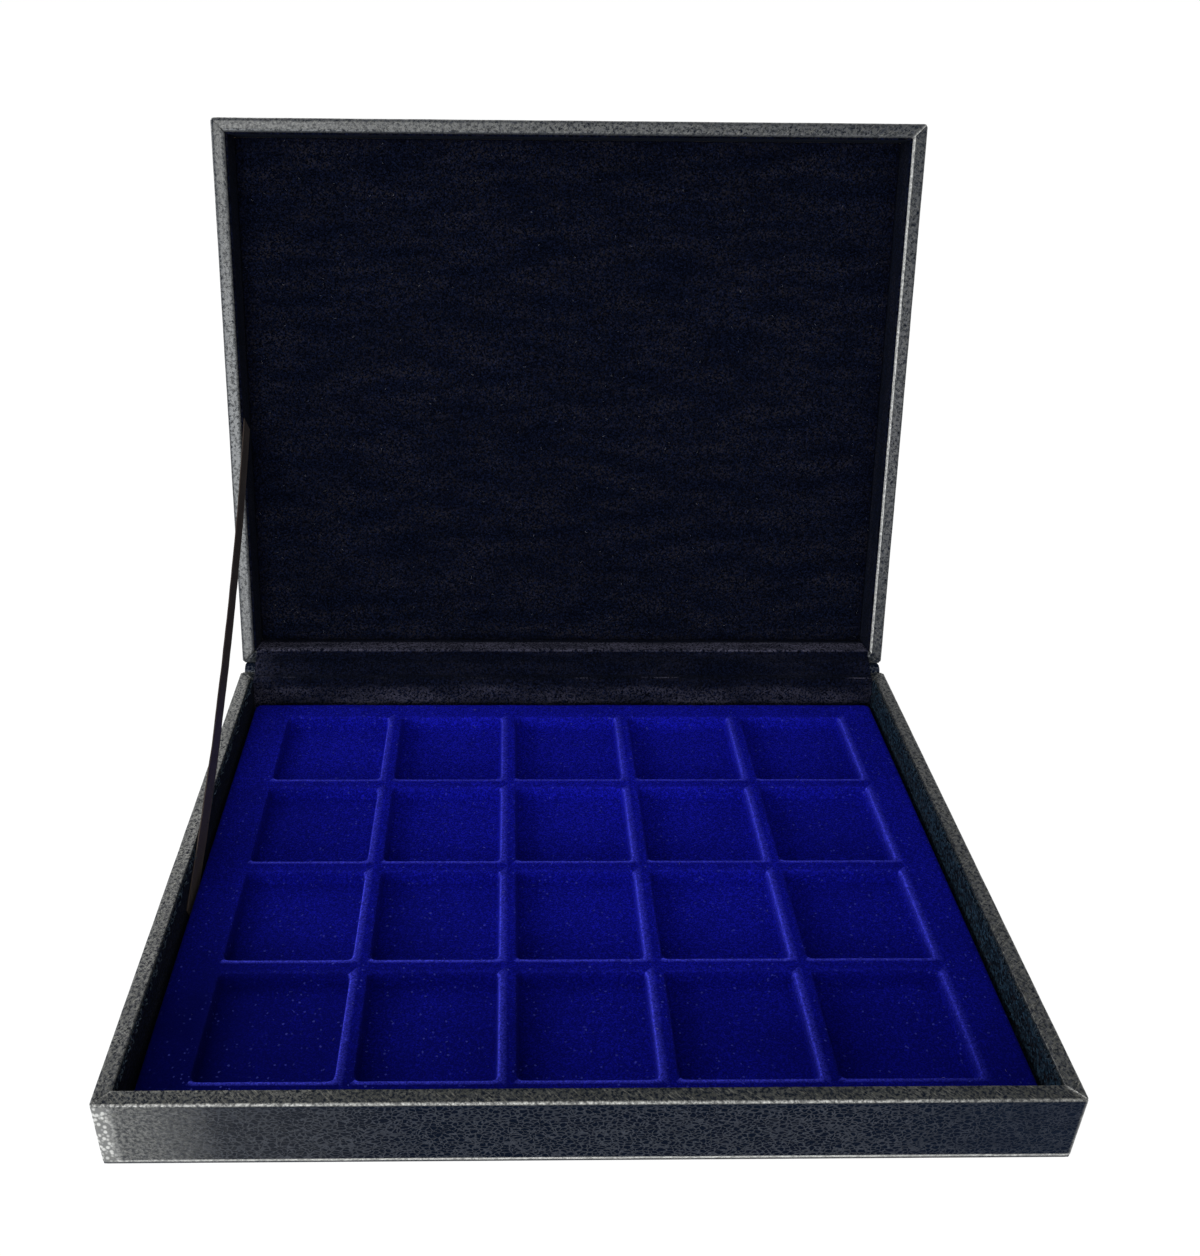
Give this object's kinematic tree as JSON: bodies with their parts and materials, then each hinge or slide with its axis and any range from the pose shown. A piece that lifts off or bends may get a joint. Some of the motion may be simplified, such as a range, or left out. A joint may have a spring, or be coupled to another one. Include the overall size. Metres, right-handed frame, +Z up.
{
  "type": "coin box",
  "caption": "Shallow hinged case in grained leatherette, open on a stay ribbon, with velvet lining and a lift-out flocked tray of square coin pockets.",
  "frame": {"origin": "centre of the flat underside", "axes": "+Z up out of the base, -Y towards the front, +X to the right seen from the front; the lid stands open behind"},
  "size_m": [0.3372, 0.3583, 0.292],
  "materials": {
    "leatherette": "black pebble-grained leatherette, satin",
    "wood_fibre": "raw wood fibre board",
    "black_velvet": "black velvet on thin card",
    "blue_flock": "royal blue flock on a thin thermoformed shell",
    "satin_ribbon": "dark satin ribbon",
    "underside_paper": "thin black grained sheet",
    "grey_card": "grey card"
  },
  "bodies": {
    "base": {"underside_sheet": "underside_paper", "base_board": "wood_fibre", "base_floor_lining": "black_velvet", "base_front_strip": "wood_fibre", "base_right_strip": "wood_fibre", "base_back_strip": "wood_fibre", "base_left_strip": "wood_fibre", "base_front_cover": "leatherette", "base_right_cover": "leatherette", "base_back_cover": "leatherette", "base_left_cover": "leatherette", "base_front_lining": "black_velvet", "base_right_lining": "black_velvet", "base_left_lining": "black_velvet", "hinge_spine": "leatherette", "velvet_hinge_strip": "black_velvet", "stay_ribbon": "satin_ribbon"},
    "lid": {"lid_board": "wood_fibre", "lid_top_cover": "leatherette", "lid_front_strip": "wood_fibre", "lid_right_strip": "wood_fibre", "lid_back_strip": "wood_fibre", "lid_left_strip": "wood_fibre", "lid_front_cover": "leatherette", "lid_right_cover": "leatherette", "lid_back_cover": "leatherette", "lid_left_cover": "leatherette", "lid_front_lining": "black_velvet", "lid_right_lining": "black_velvet", "lid_left_lining": "black_velvet", "lid_pad_card": "grey_card", "lid_pad_velvet": "black_velvet"},
    "tray": {"coin_tray": "blue_flock"}
  },
  "joints": [
    {"name": "lid_hinge", "type": "hinge", "parent": "base", "child": "lid", "pos_m": [0, 0.13742, 0.0289], "axis": [1, 0, 0], "range_deg": [0, 103.7], "deforming": ["hinge_spine", "velvet_hinge_strip", "stay_ribbon"]},
    {"name": "tray_lift", "type": "slide", "parent": "base", "child": "tray", "axis": [0, 0, 1], "range_m": [0, 0.028]}
  ]
}
